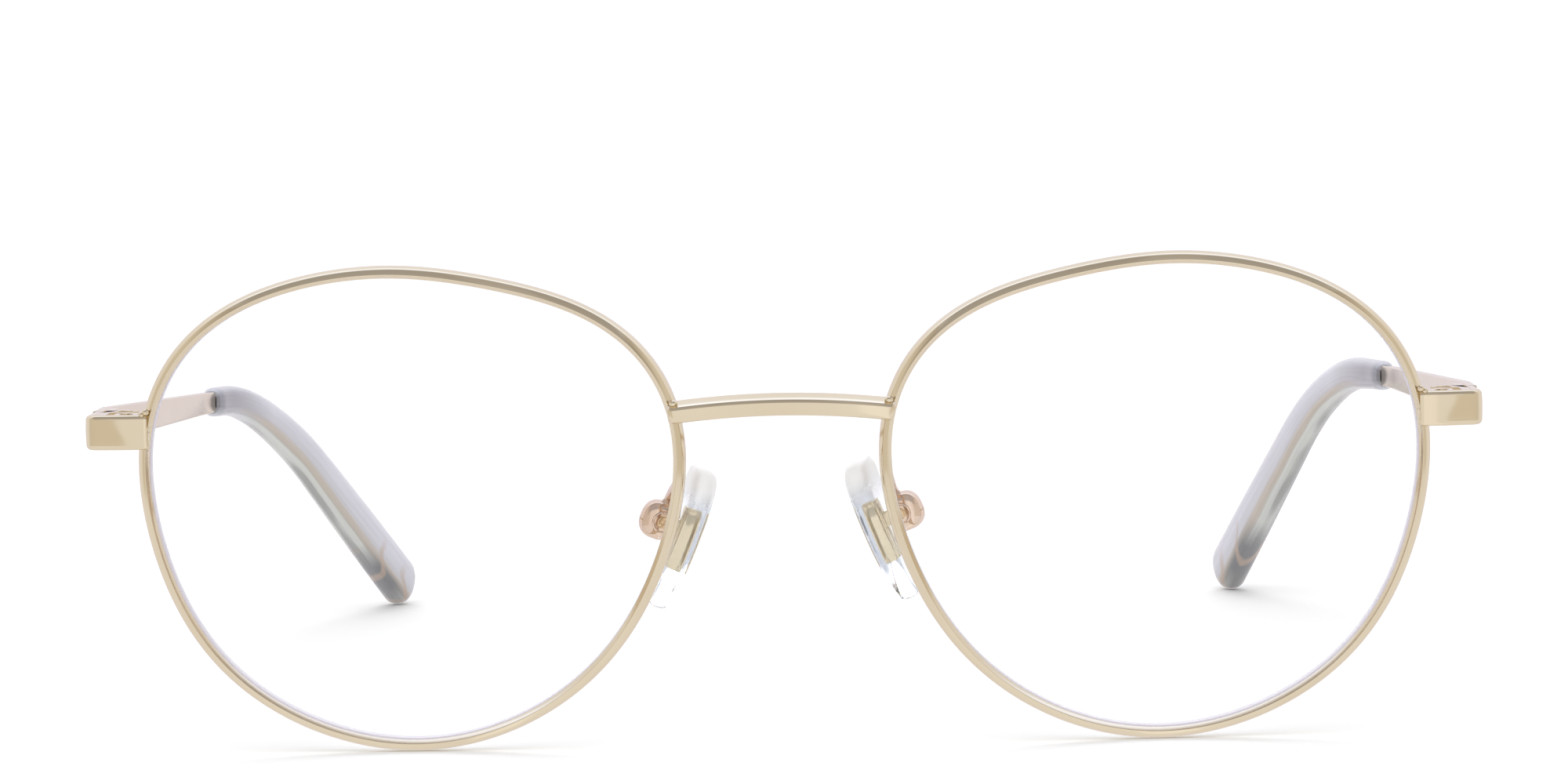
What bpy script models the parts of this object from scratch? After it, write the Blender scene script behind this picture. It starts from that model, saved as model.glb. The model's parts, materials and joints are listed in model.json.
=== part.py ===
"""Round full-rim metal eyeglasses, lens 52 mm, bridge 20 mm, temple 145 mm, standing open on a table.

+X is the wearer's left, +Y runs from the lenses back to the temple tips, +Z is up and z = 0 is the table.
Every builder function describes the wearer's left side; the right side is its mirror image in x.
Points are written in a front frame whose y = 0 lies at the lens centres before the lenses are curved.
"""

import math

import bmesh
import bpy
from mathutils import Matrix, Vector

MM = 0.001

# Driving dimensions
LENS_WIDTH = 52 * MM
BRIDGE_WIDTH = 20 * MM
LENS_CENTRE_Z = 24.31 * MM
FRONT_Y = -71.2 * MM
BASE_CURVE = 120 * MM
FRONT_TILT = math.radians(3.5)
FACE_FORM = math.radians(3.2)

# Lens outline in polar form: the width fixes the mean radius, the waves of n lobes give the rounded shape
MEAN_RADIUS = 0.4731 * LENS_WIDTH
LENS_CENTRE_X = (LENS_WIDTH + BRIDGE_WIDTH) / 2 + 0.25 * MM
COSINE_WAVES = {2: 0.0597, 3: -0.0071, 4: -0.0090, 6: -0.0056}
SINE_WAVES = {3: 0.0405, 4: -0.0053, 5: 0.0073}

# Rim: eyewire cross-section as (outwards, backwards) from the lens edge, with the V groove on the inside
RIM_SKIN = [(-0.55, -0.62), (-0.45, -0.80), (0.05, -0.92), (0.42, -0.78), (0.59, -0.45), (0.59, 0.45),
            (0.42, 0.76), (-0.38, 0.80), (-0.55, 0.62)]
RIM_GROOVE = [(-0.55, 0.38), (-0.05, 0.0), (-0.55, -0.38)]
RIM_STEPS = 72
SPLIT_ANGLE = math.radians(15.6)
SPLIT_HALF_GAP = math.radians(0.4)

# Lens: edge cross-section as (outwards, backwards), its bevel standing in the rim's groove
LENS_THICKNESS = 1.5 * MM
LENS_EDGE = [(-0.65, -0.75), (-0.65, -0.31), (-0.15, 0.0), (-0.65, 0.31), (-0.65, 0.75)]
LENS_RINGS = [0.55]

# Bridge: bar of oval section laid on the fronts of the rims, arched upwards
BRIDGE_HEIGHT = 2.1 * MM
BRIDGE_DEPTH = 1.7 * MM
BRIDGE_HALF_SPAN = 10.9 * MM
BRIDGE_CENTRE_Y = 0.0 * MM
BRIDGE_END_Z = 32.6 * MM
BRIDGE_ARCH = 0.7 * MM
BRIDGE_SEAT = (math.pi - 0.75, math.pi - 0.05)

# Endpiece and temple strip
STRIP_HEIGHT = 3.4 * MM
STRIP_THICKNESS = 1.0 * MM
STRIP_CHAMFER = 0.16 * MM
ENDPIECE_Z = 31.55 * MM
ENDPIECE_FRONT_Y = 2.62 * MM
ENDPIECE_INNER_X = 61.85 * MM
ENDPIECE_CORNER = 1.7 * MM
OUTER_X = 67.5 * MM
ENDPIECE_SEAT = (SPLIT_ANGLE - 0.25, SPLIT_ANGLE + 0.25)

# Closing blocks: the two halves of the rim lock behind the endpiece, drawn together by one screw
CLOSING_X = 63.65 * MM
CLOSING_Y = 5.1 * MM
CLOSING_HALF_X = 1.1 * MM
CLOSING_HALF_Y = 1.3 * MM
CLOSING_CHAMFER = 0.3 * MM
CLOSING_HEIGHT = 1.5 * MM
CLOSING_GAP = 0.3 * MM
CLOSING_BORE = 0.55 * MM

# Hinge: three knuckles on a vertical screw
HINGE_X = 64.2 * MM
HINGE_Y = 9.0 * MM
KNUCKLE_RADIUS = 1.25 * MM
KNUCKLE_HEIGHT = 1.1 * MM
LEAF_THICKNESS = 0.9 * MM
LEAF_NEAR = 1.6 * MM
LEAF_FAR = 4.8 * MM
HINGE_BORE = 0.65 * MM
HINGE_END_GAP = 0.1 * MM
RUNNING_GAP = 0.05 * MM

# Screws as (shaft radius, head radius, head height, length under the head)
CLOSING_SCREW = (0.5 * MM, 0.85 * MM, 0.35 * MM, 3.3 * MM)
HINGE_SCREW = (0.6 * MM, 1.0 * MM, 0.4 * MM, STRIP_HEIGHT)
PAD_SCREW = (0.45 * MM, 0.72 * MM, 0.3 * MM, 2.6 * MM)

# Temple centre line: square to the front at the hinge, a long run, then a bend inwards and a bend down
TEMPLE_START_Y = HINGE_Y + RUNNING_GAP
SQUARE_END_Y = HINGE_Y + 6 * MM
TIP_START_Y = 87.2 * MM
CORE_END_Y = 121 * MM
TIP_CENTRE_Y = 141 * MM
TIP_END_RADIUS = 2.5 * MM
TIP_SIDES = 14
TIP_SQUARENESS = 2.5
INWARD_SLOPES = (0.0178, 0.332)
INWARD_BEND = (95.1 * MM, 16.7 * MM)
DROP_SLOPES = (0.0377, 0.750)
DROP_BEND = (107.3 * MM, 12.1 * MM)
TIP_HALF_THICKNESS = (1.3 * MM, 1.85 * MM)
TIP_HALF_HEIGHT = (1.62 * MM, 2.85 * MM)
TIP_COLLAR = (0.22, 0.03)
STRIP_END_HEIGHT = 2.3 * MM
CORE_HEIGHT = 1.5 * MM
CORE_THICKNESS = 0.9 * MM
CORE_GAP = 0.12 * MM

# Nose pad: its own axes are along (up the pad), across (front to back) and out (away from the nose)
PAD_PIVOT = Vector((12.04, 7.75, 21.63)) * MM
PAD_LEAN = math.radians(22.4)
PAD_SPLAY = math.radians(12)
PIVOT_OUT = 2.65 * MM
PIVOT_UP = 0.7 * MM
PAD_LENGTH = 14.8 * MM
PAD_WIDTH = 7.6 * MM
PAD_THICKNESS = 2.4 * MM
PAD_NARROWING = 0.15
PAD_SQUARENESS = (2.9, 2.2)
PAD_PROFILE = [(0.88, 0.94), (0.96, 0.7), (1.0, 0.2), (0.99, -0.3), (0.91, -0.68), (0.7, -0.88), (0.4, -0.98)]
INSERT_HALF_LENGTH = 3.3 * MM
INSERT_HALF_WIDTH = 1.6 * MM
INSERT_OUT = (-0.05 * MM, 0.8 * MM)
POCKET_GAP = 0.12 * MM
LUG_HALF_WIDTH = 0.6 * MM
LUG_RADIUS = 0.75 * MM

# Pad box and arm: the box reaches from the first to the second distance along out, measured from the pivot
BOX_HALF_WIDTH = 1.3 * MM
BOX_HALF_HEIGHT = 1.75 * MM
BOX_OUT = (-0.83 * MM, 1.6 * MM)
BOX_SLICES = [(-1.0, 0.74), (-0.9, 0.9), (-0.68, 1.0), (0.68, 1.0), (0.9, 0.9), (1.0, 0.74)]
BOX_SQUARENESS = 3.0
BOX_SLOT_HALF_HEIGHT = 1.15 * MM
BOX_SLOT_DEPTH = 0.9 * MM
ARM_START = [Vector(p) * MM for p in ((10.05, 2.75, 27.5), (10.05, 4.9, 26.9), (10.3, 6.6, 25.7))]
ARM_SECTION = (0.75 * MM, 0.38 * MM, 0.14 * MM)
ARM_BACK = Vector((1, 0, 0.25))

SIDES = {"right": -1, "left": 1}

# Finishes: base colour, roughness, metallic
GOLD = ((0.80, 0.70, 0.52, 1.0), 0.18, 1.0)
SCREW_GOLD = ((0.72, 0.58, 0.38, 1.0), 0.3, 1.0)
ACETATE = ((0.42, 0.42, 0.45, 1.0), 0.15, 0.0)
SILICONE = ((0.92, 0.93, 0.95, 0.4), 0.25, 0.0)
DEMO_LENS = ((0.97, 0.98, 1.0, 0.15), 0.03, 0.0)


# ------------------------------------------------------------------ scene and mesh helpers
def clear_scene():
    for old in list(bpy.data.objects):
        bpy.data.objects.remove(old, do_unlink=True)


def add_empty(name, place, parent=None):
    empty = bpy.data.objects.new(name, None)
    empty.location = place
    empty.parent = parent
    bpy.context.scene.collection.objects.link(empty)
    return empty


def add_finish(part, finish):
    colour, roughness, metallic = finish
    material = bpy.data.materials.new(part.name + "_finish")
    material.use_nodes = True
    shader = material.node_tree.nodes["Principled BSDF"]
    shader.inputs["Base Color"].default_value = colour
    shader.inputs["Alpha"].default_value = colour[3]
    shader.inputs["Roughness"].default_value = roughness
    shader.inputs["Metallic"].default_value = metallic
    part.data.materials.append(material)


def add_solid(name, shape, side, parent, origin=(0, 0, 0)):
    """One closed body from (points, faces), mirrored to its side, with its origin at the given place.

    The parent is the front frame or a joint empty directly under it."""
    points, faces = shape
    mirror = Matrix.Diagonal((side, 1, 1))
    home = mirror @ Vector(origin)
    parent_place = parent.location if parent.parent else Vector()
    mesh = bmesh.new()
    corners = [mesh.verts.new(mirror @ Vector(point) - home) for point in points]
    for face in faces:
        mesh.faces.new([corners[index] for index in face])
    bmesh.ops.recalc_face_normals(mesh, faces=mesh.faces)
    data = bpy.data.meshes.new(name)
    mesh.to_mesh(data)
    mesh.free()
    part = bpy.data.objects.new(name, data)
    bpy.context.scene.collection.objects.link(part)
    part.parent = parent
    part.location = home - parent_place
    data.shade_smooth()
    data.set_sharp_from_angle(angle=math.radians(35))
    return part


def combine(part, tool, operation):
    """Cuts the tool from the part or joins it on; the tool stays as a hidden guide."""
    tool.hide_render = True
    tool.display_type = "WIRE"
    boolean = part.modifiers.new(tool.name, "BOOLEAN")
    boolean.operation = operation
    boolean.object = tool


def cut(part, tool):
    combine(part, tool, "DIFFERENCE")


def loft(rings):
    """Skins equal rings of points one after another and closes both ends."""
    count = len(rings[0])
    points = [point for ring in rings for point in ring]
    faces = [tuple(range(count)), tuple(range(len(points) - count, len(points)))]
    for level in range(len(rings) - 1):
        for step in range(count):
            here, there = level * count + step, level * count + (step + 1) % count
            faces.append((here, there, there + count, here + count))
    return points, faces


def prism(outline, low, high):
    """Upright block with the given outline of (x, y) points."""
    return loft([[Vector((x, y, z)) for x, y in outline] for z in (low, high)])


def circle(centre, radius, steps=24, start=0.0, turn=2 * math.pi):
    """Points around (x, y) centre; a full turn leaves out the repeated last point."""
    spans = steps if turn >= 2 * math.pi else steps - 1
    angles = [start + turn * step / spans for step in range(steps)]
    return [(centre[0] + radius * math.cos(a), centre[1] + radius * math.sin(a)) for a in angles]


def cylinder(centre, radius, low, high):
    return prism(circle(centre, radius), low, high)


def block(low, high):
    outline = [(low[0], low[1]), (high[0], low[1]), (high[0], high[1]), (low[0], high[1])]
    return prism(outline, low[2], high[2])


def turned(profile, steps=16):
    """Solid of revolution about local z from (radius, height) points, with flat ends."""
    rings = []
    for radius, height in profile:
        rings.append([Vector((x, y, height)) for x, y in circle((0, 0), radius, steps)])
    return loft(rings)


def moved(shape, frame):
    points, faces = shape
    return [frame @ Vector(point) for point in points], faces


def chamfered(half_width, half_height, chamfer):
    """Eight corners of a flat bar's section."""
    w, h, c = half_width, half_height, chamfer
    upper = [(w, h - c), (w - c, h), (c - w, h), (-w, h - c)]
    return upper + [(-w, c - h), (c - w, -h), (w - c, -h), (w, c - h)]


def oval(half_width, half_height, steps=16, squareness=2.0):
    """Superellipse section; squareness 2 is an ellipse, larger is boxier."""
    points = []
    for step in range(steps):
        angle = 2 * math.pi * (step + 0.5) / steps
        c, s = math.cos(angle), math.sin(angle)
        points.append((half_width * math.copysign(abs(c) ** (2 / squareness), c),
                       half_height * math.copysign(abs(s) ** (2 / squareness), s)))
    return points


def placed_section(section, centre, sideways, upwards):
    return [centre + sideways * w + upwards * h for w, h in section]


def smooth_path(points, steps):
    """Catmull-Rom curve through the points."""
    knots = [points[0] * 2 - points[1]] + points + [points[-1] * 2 - points[-2]]
    path = []
    for index in range(1, len(knots) - 2):
        a, b, c, d = knots[index - 1:index + 3]
        for step in range(steps):
            t = step / steps
            path.append(0.5 * (2 * b + (c - a) * t + (2 * a - 5 * b + 4 * c - d) * t ** 2
                               + (3 * b - a - 3 * c + d) * t ** 3))
    return path + [points[-1]]


# ------------------------------------------------------------------ lens plane
def outline_radius(angle):
    """Lens edge distance from the lens centre; the angle runs from the temple side up over the brow."""
    wave = 1.0
    wave += sum(size * math.cos(lobes * angle) for lobes, size in COSINE_WAVES.items())
    wave += sum(size * math.sin(lobes * angle) for lobes, size in SINE_WAVES.items())
    return MEAN_RADIUS * wave


def outline_point(angle, outset):
    """Point on the lens edge, moved outwards square to the edge, as (sideways, up)."""
    step = 1e-4
    radius = outline_radius(angle)
    growth = (outline_radius(angle + step) - outline_radius(angle - step)) / (2 * step)
    along = Vector((growth * math.cos(angle) - radius * math.sin(angle),
                    growth * math.sin(angle) + radius * math.cos(angle))).normalized()
    edge = Vector((radius * math.cos(angle), radius * math.sin(angle)))
    return edge + Vector((along.y, -along.x)) * outset


def on_front(sideways, up, depth):
    """Carries a point of the flat lens plane onto the curved, wrapped and tilted front."""
    sag = (sideways ** 2 + up ** 2) / (2 * BASE_CURVE)
    point = Matrix.Rotation(FACE_FORM, 3, "Z") @ Vector((sideways, sag + depth, up))
    point.x += LENS_CENTRE_X
    point = Matrix.Rotation(FRONT_TILT, 3, "X") @ point
    point.z += LENS_CENTRE_Z
    return point


def rim_ring(angle, section, grown=0.0):
    """One cross-section of the eyewire, made larger by grown on every side."""
    ring = []
    for outwards, backwards in section:
        wide = outwards * MM + math.copysign(grown, outwards)
        deep = backwards * MM + math.copysign(grown, backwards)
        ring.append(on_front(*outline_point(angle, wide), deep))
    return ring


def rim_shape():
    """Eyewire once around the lens, open at the split."""
    start, end = SPLIT_ANGLE + SPLIT_HALF_GAP, SPLIT_ANGLE + 2 * math.pi - SPLIT_HALF_GAP
    angles = [start + (end - start) * step / RIM_STEPS for step in range(RIM_STEPS + 1)]
    return loft([rim_ring(angle, RIM_SKIN + RIM_GROOVE) for angle in angles])


def rim_seat(start, end, steps=14):
    """Cutter for pieces soldered on the rim: a stretch of the rim without its groove, a little oversize."""
    angles = [start + (end - start) * step / steps for step in range(steps + 1)]
    return loft([rim_ring(angle, RIM_SKIN, RUNNING_GAP) for angle in angles])


def lens_shape():
    """Meniscus lens: a bevelled edge, and curved front and back faces made of rings around a centre point."""
    angles = [2 * math.pi * step / RIM_STEPS for step in range(RIM_STEPS)]
    half = LENS_THICKNESS / 2
    face_edge = [outline_point(angle, LENS_EDGE[0][0] * MM) for angle in angles]
    rings = [[on_front(*point * part, -half) for point in face_edge] for part in LENS_RINGS[::-1]]
    rings += [[on_front(*outline_point(a, out * MM), back * MM) for a in angles] for out, back in LENS_EDGE]
    rings += [[on_front(*point * part, half) for point in face_edge] for part in LENS_RINGS]
    points, faces = loft(rings)
    faces = faces[2:]
    for first, depth in ((0, -half), (len(points) - RIM_STEPS, half)):
        centre = len(points)
        points.append(on_front(0, 0, depth))
        faces += [(first + step, first + (step + 1) % RIM_STEPS, centre) for step in range(RIM_STEPS)]
    return points, faces


# ------------------------------------------------------------------ front
def bridge_shape():
    rings = []
    steps = 20
    for step in range(steps + 1):
        x = BRIDGE_HALF_SPAN * (2 * step / steps - 1)
        lift = BRIDGE_ARCH * (1 - (x / BRIDGE_HALF_SPAN) ** 2)
        centre = Vector((x, BRIDGE_CENTRE_Y, BRIDGE_END_Z + lift))
        lean = Vector((BRIDGE_HALF_SPAN, 0, -2 * BRIDGE_ARCH * x / BRIDGE_HALF_SPAN)).normalized()
        up = Vector((-lean.z, 0, lean.x))
        section = oval(BRIDGE_DEPTH / 2, BRIDGE_HEIGHT / 2, 14, 2.4)
        rings.append(placed_section(section, centre, Vector((0, 1, 0)), up))
    return loft(rings)


def endpiece_shape():
    """Flat strip that runs outwards from the rim, turns a rounded corner and runs back to the hinge."""
    middle_y = ENDPIECE_FRONT_Y + STRIP_THICKNESS / 2
    middle_x = OUTER_X - STRIP_THICKNESS / 2
    radius = ENDPIECE_CORNER - STRIP_THICKNESS / 2
    corner = (middle_x - radius, middle_y + radius)
    plan = [(ENDPIECE_INNER_X, middle_y, 0.0)]
    for step in range(9):
        turn = math.pi / 2 * step / 8
        plan.append((corner[0] + radius * math.sin(turn), corner[1] - radius * math.cos(turn), turn))
    plan.append((middle_x, HINGE_Y - RUNNING_GAP, math.pi / 2))
    section = chamfered(STRIP_THICKNESS / 2, STRIP_HEIGHT / 2, STRIP_CHAMFER)
    rings = []
    for x, y, turn in plan:
        outwards = Vector((math.sin(turn), -math.cos(turn), 0))
        rings.append(placed_section(section, Vector((x, y, ENDPIECE_Z)), outwards, Vector((0, 0, 1))))
    return loft(rings)


def closing_block_shape(level):
    """One half of the rim lock; level is 1 for the upper block and -1 for the lower one."""
    near, far = ENDPIECE_Z + level * CLOSING_GAP / 2, ENDPIECE_Z + level * (CLOSING_GAP / 2 + CLOSING_HEIGHT)
    outline = chamfered(CLOSING_HALF_X, CLOSING_HALF_Y, CLOSING_CHAMFER)
    return prism([(CLOSING_X + x, CLOSING_Y + y) for x, y in outline], min(near, far), max(near, far))


def screw_shape(shaft, head, head_height, length):
    """Screw along -z with its head's underside at z = 0."""
    return turned([(shaft * 0.8, -length), (shaft, -length + shaft * 0.3), (shaft, 0), (head, 0),
                   (head, head_height * 0.6), (head * 0.85, head_height)])


def add_screw(name, place, size, side, parent, origin):
    """Slotted screw; place carries its own axes to the front frame."""
    head, head_height = size[1], size[2]
    screw = add_solid(name, moved(screw_shape(*size), place), side, parent, origin)
    slot = block((-2 * head, -head * 0.16, head_height * 0.45), (2 * head, head * 0.16, 2 * head_height))
    cut(screw, add_solid(name + "_slot_tool", moved(slot, place), side, parent, origin))
    add_finish(screw, SCREW_GOLD)
    return screw


# ------------------------------------------------------------------ hinge
def hinge_outline(direction):
    """Knuckle and leaf seen from above; direction is -1 for the front half and 1 for the temple half."""
    leaf_x = OUTER_X - STRIP_THICKNESS - RUNNING_GAP
    start, turn = -direction * math.radians(35), -direction * math.radians(145)
    around = circle((HINGE_X, HINGE_Y), KNUCKLE_RADIUS, 15, start, turn)
    near, far = HINGE_Y + direction * LEAF_NEAR, HINGE_Y + direction * LEAF_FAR
    inner_x = leaf_x - LEAF_THICKNESS
    return around + [(inner_x, near), (inner_x, far), (leaf_x, far), (leaf_x, near)]


def add_hinge_half(name, direction, side, parent, origin):
    half = STRIP_HEIGHT / 2 - RUNNING_GAP
    whole = prism(hinge_outline(direction), ENDPIECE_Z - half, ENDPIECE_Z + half)
    part = add_solid(name, whole, side, parent, origin)
    middle = KNUCKLE_HEIGHT / 2
    reach = KNUCKLE_RADIUS + HINGE_END_GAP
    if direction < 0:
        gaps = [(-middle - RUNNING_GAP, middle + RUNNING_GAP)]
    else:
        gaps = [(-half - MM, -middle), (middle, half + MM)]
    for index, (low, high) in enumerate(gaps):
        start, end = sorted((HINGE_Y + direction * reach, HINGE_Y - direction * 3 * MM))
        gap = block((HINGE_X - 3 * MM, start, ENDPIECE_Z + low), (OUTER_X, end, ENDPIECE_Z + high))
        cut(part, add_solid(f"{name}_gap_tool_{index}", gap, side, parent, origin))
    bore = cylinder((HINGE_X, HINGE_Y), HINGE_BORE, ENDPIECE_Z - 3 * MM, ENDPIECE_Z + 3 * MM)
    cut(part, add_solid(name + "_bore_tool", bore, side, parent, origin))
    add_finish(part, GOLD)
    return part


# ------------------------------------------------------------------ temple
def bent(y, slopes, bend):
    """Offset of a line whose slope changes from one to the other over a soft bend at (place, half length)."""
    place, half = bend
    before, after = slopes
    value = before * max(y - SQUARE_END_Y, 0.0)
    into = min(max(y - (place - half), 0.0), 2 * half)
    value += (after - before) * into ** 2 / (4 * half)
    return value + (after - before) * max(y - (place + half), 0.0)


def temple_centre(y):
    inwards = bent(y, INWARD_SLOPES, INWARD_BEND)
    drop = bent(y, DROP_SLOPES, DROP_BEND)
    return Vector((OUTER_X - STRIP_THICKNESS / 2 - inwards, y, ENDPIECE_Z - drop))


def temple_axes(y):
    """Directions (outwards, upwards, along) of the temple at y, square to each other."""
    step = 1e-5
    along = (temple_centre(y + step) - temple_centre(y - step)).normalized()
    outwards = along.cross(Vector((0, 0, 1))).normalized()
    return outwards, outwards.cross(along), along


def temple_ring(y, section):
    """Section square to the temple's centre line."""
    outwards, upwards, _ = temple_axes(y)
    return placed_section(section, temple_centre(y), outwards, upwards)


def temple_shape():
    """Tapering strip, stepping down at the tip to the core wire that the tip is pushed over."""
    rings = []
    strip_end_y = TIP_START_Y - CORE_GAP
    strip = [(TEMPLE_START_Y, STRIP_HEIGHT), (SQUARE_END_Y, STRIP_HEIGHT), (strip_end_y, STRIP_END_HEIGHT)]
    for y, height in strip:
        rings.append(temple_ring(y, chamfered(STRIP_THICKNESS / 2, height / 2, STRIP_CHAMFER)))
    steps = 14
    for step in range(steps + 1):
        y = strip_end_y + (CORE_END_Y - TIP_START_Y) * step / steps
        rings.append(temple_ring(y, chamfered(CORE_THICKNESS / 2, CORE_HEIGHT / 2, STRIP_CHAMFER)))
    return loft(rings)


def tip_size(part):
    """Half thickness and half height of the acetate tip at a fraction of its length."""
    swell = part * part * (3 - 2 * part)
    narrowed, collar_length = TIP_COLLAR
    collar = 1 - narrowed * max(0.0, 1 - part / collar_length) ** 2
    thickness = TIP_HALF_THICKNESS[0] + (TIP_HALF_THICKNESS[1] - TIP_HALF_THICKNESS[0]) * part
    height = TIP_HALF_HEIGHT[0] + (TIP_HALF_HEIGHT[1] - TIP_HALF_HEIGHT[0]) * swell
    return thickness * collar, height * collar


def tip_shape():
    """Acetate tip: outer skin from the collar to the rounded end, and the blind bore for the core wire."""
    length = TIP_CENTRE_Y - TIP_START_Y
    outer = []
    for part in (0, 0.015, 0.03, *[0.09 + 0.91 * step / 13 for step in range(14)]):
        section = oval(*tip_size(part), TIP_SIDES, TIP_SQUARENESS)
        outer.append(temple_ring(TIP_START_Y + length * part, section))
    outwards, upwards, along = temple_axes(TIP_CENTRE_Y)
    half_thickness, half_height = tip_size(1)
    for angle in (25, 48, 70):
        reach, shrink = math.sin(math.radians(angle)), math.cos(math.radians(angle))
        section = oval(half_thickness * shrink, half_height * shrink, TIP_SIDES, TIP_SQUARENESS - 0.5 * reach)
        centre = temple_centre(TIP_CENTRE_Y) + along * TIP_END_RADIUS * reach
        outer.append(placed_section(section, centre, outwards, upwards))
    bore_section = oval(CORE_THICKNESS / 2 + CORE_GAP, CORE_HEIGHT / 2 + CORE_GAP, TIP_SIDES, 4.0)
    bore_end = CORE_END_Y + 0.4 * MM
    steps = 12
    stations = [TIP_START_Y + (bore_end - TIP_START_Y) * step / steps for step in range(steps + 1)]
    bore = [temple_ring(y, bore_section) for y in stations]
    return loft(bore[::-1] + outer)


# ------------------------------------------------------------------ nose pad
def pad_frame():
    """Matrix from pad axes (out, across, along) to the front frame."""
    along = Vector((-math.sin(PAD_LEAN), 0, math.cos(PAD_LEAN)))
    across = Vector((math.sin(PAD_SPLAY), math.cos(PAD_SPLAY), 0))
    across = (across - along * along.dot(across)).normalized()
    out = across.cross(along)
    frame = Matrix((out, across, along)).transposed().to_4x4()
    frame.translation = PAD_PIVOT - out * PIVOT_OUT - along * PIVOT_UP
    return frame


def pad_ring(half_length, half_width, out, steps=28):
    """Pad outline seen square on: broad and blunt at the top, narrower and rounder below."""
    ring = []
    for step in range(steps):
        angle = 2 * math.pi * step / steps
        c, s = math.cos(angle), math.sin(angle)
        power = 2 / PAD_SQUARENESS[0 if s > 0 else 1]
        across = half_width * (1 + PAD_NARROWING * s) * math.copysign(abs(c) ** power, c)
        ring.append(Vector((out, across, half_length * math.copysign(abs(s) ** power, s))))
    return ring


def pad_shape():
    """Silicone body with a pocket for the insert on the outer face and a domed face to the nose."""
    half = PAD_THICKNESS / 2
    pocket = (INSERT_HALF_LENGTH + POCKET_GAP, INSERT_HALF_WIDTH + POCKET_GAP)
    rings = [pad_ring(*pocket, INSERT_OUT[0] - POCKET_GAP), pad_ring(*pocket, half * PAD_PROFILE[0][1])]
    for size, out in PAD_PROFILE:
        rings.append(pad_ring(PAD_LENGTH / 2 * size, PAD_WIDTH / 2 * size, half * out))
    return loft(rings)


def insert_shape():
    """Metal plate moulded into the pad, seen from its edge as a thin bar."""
    return loft([pad_ring(INSERT_HALF_LENGTH, INSERT_HALF_WIDTH, out) for out in INSERT_OUT])


def extruded_across(outline, half_width):
    """Solid along the pad's across axis from an outline of (out, along) points around the pivot."""
    return loft([[Vector((PIVOT_OUT + out, across, PIVOT_UP + along)) for out, along in outline]
                 for across in (-half_width, half_width)])


def lug_shape():
    """Rounded lug that stands on the insert plate; the pad screw passes through it."""
    root = INSERT_OUT[1] - 0.1 * MM - PIVOT_OUT
    outline = circle((0, 0), LUG_RADIUS, 13, start=-math.pi / 2, turn=math.pi)
    return extruded_across(outline + [(root, LUG_RADIUS), (root, -LUG_RADIUS)], LUG_HALF_WIDTH)


def box_shape():
    """Rounded pad box before its slot and hole are cut."""
    middle = PIVOT_OUT + (BOX_OUT[0] + BOX_OUT[1]) / 2
    half = (BOX_OUT[1] - BOX_OUT[0]) / 2
    rings = []
    for across, size in BOX_SLICES:
        section = oval(half * size, BOX_HALF_HEIGHT * size, 20, BOX_SQUARENESS)
        place = BOX_HALF_WIDTH * across
        rings.append([Vector((middle + out, place, PIVOT_UP + along)) for out, along in section])
    return loft(rings)


def box_slot():
    """Room for the lug, open towards the pad."""
    half_width = LUG_HALF_WIDTH + RUNNING_GAP
    low = Vector((0, -half_width, PIVOT_UP - BOX_SLOT_HALF_HEIGHT))
    return block(low, Vector((PIVOT_OUT + BOX_SLOT_DEPTH, half_width, PIVOT_UP + BOX_SLOT_HALF_HEIGHT)))


def arm_shape():
    """Flat strap from the back of the rim to the top of the pad box."""
    box_top = PIVOT_UP + BOX_HALF_HEIGHT + RUNNING_GAP
    end = [pad_frame() @ Vector((PIVOT_OUT, 0, box_top + above)) for above in (1.2 * MM, 0.0)]
    path = smooth_path(ARM_START + end, 4)
    rings = []
    for index, centre in enumerate(path):
        along = (path[min(index + 1, len(path) - 1)] - path[max(index - 1, 0)]).normalized()
        broad = along.cross(ARM_BACK).normalized()
        rings.append(placed_section(chamfered(*ARM_SECTION), centre, broad, broad.cross(along)))
    return loft(rings)


# ------------------------------------------------------------------ assembly
def add_part(name, shape, finish, side, parent, origin=(0, 0, 0)):
    part = add_solid(name, shape, side, parent, origin)
    add_finish(part, finish)
    return part


def build_front(side_name, side, frame):
    rim_place = on_front(0, 0, 0)
    add_part(side_name + "_rim", rim_shape(), GOLD, side, frame, rim_place)
    add_part(side_name + "_lens", lens_shape(), DEMO_LENS, side, frame, rim_place)
    outer_corner = (OUTER_X, HINGE_Y, ENDPIECE_Z)
    endpiece = add_part(side_name + "_endpiece", endpiece_shape(), GOLD, side, frame, outer_corner)
    cut(endpiece, add_solid(side_name + "_endpiece_seat_tool", rim_seat(*ENDPIECE_SEAT), side, frame))
    hinge_place = Vector((HINGE_X, HINGE_Y, ENDPIECE_Z))
    add_hinge_half(side_name + "_front_hinge", -1, side, frame, hinge_place)
    seat = hinge_place + Vector((0, 0, STRIP_HEIGHT / 2))
    add_screw(side_name + "_hinge_screw", Matrix.Translation(seat), HINGE_SCREW, side, frame, seat)


def build_rim_lock(side_name, side, frame):
    place = Vector((CLOSING_X, CLOSING_Y, ENDPIECE_Z))
    for level, level_name in ((1, "upper"), (-1, "lower")):
        name = f"{side_name}_closing_block_{level_name}"
        piece = add_part(name, closing_block_shape(level), GOLD, side, frame, place)
        bore = cylinder((CLOSING_X, CLOSING_Y), CLOSING_BORE, ENDPIECE_Z - 4 * MM, ENDPIECE_Z + 4 * MM)
        cut(piece, add_solid(name + "_bore_tool", bore, side, frame, place))
    top = place + Vector((0, 0, CLOSING_GAP / 2 + CLOSING_HEIGHT + RUNNING_GAP))
    add_screw(side_name + "_closing_screw", Matrix.Translation(top), CLOSING_SCREW, side, frame, top)


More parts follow.
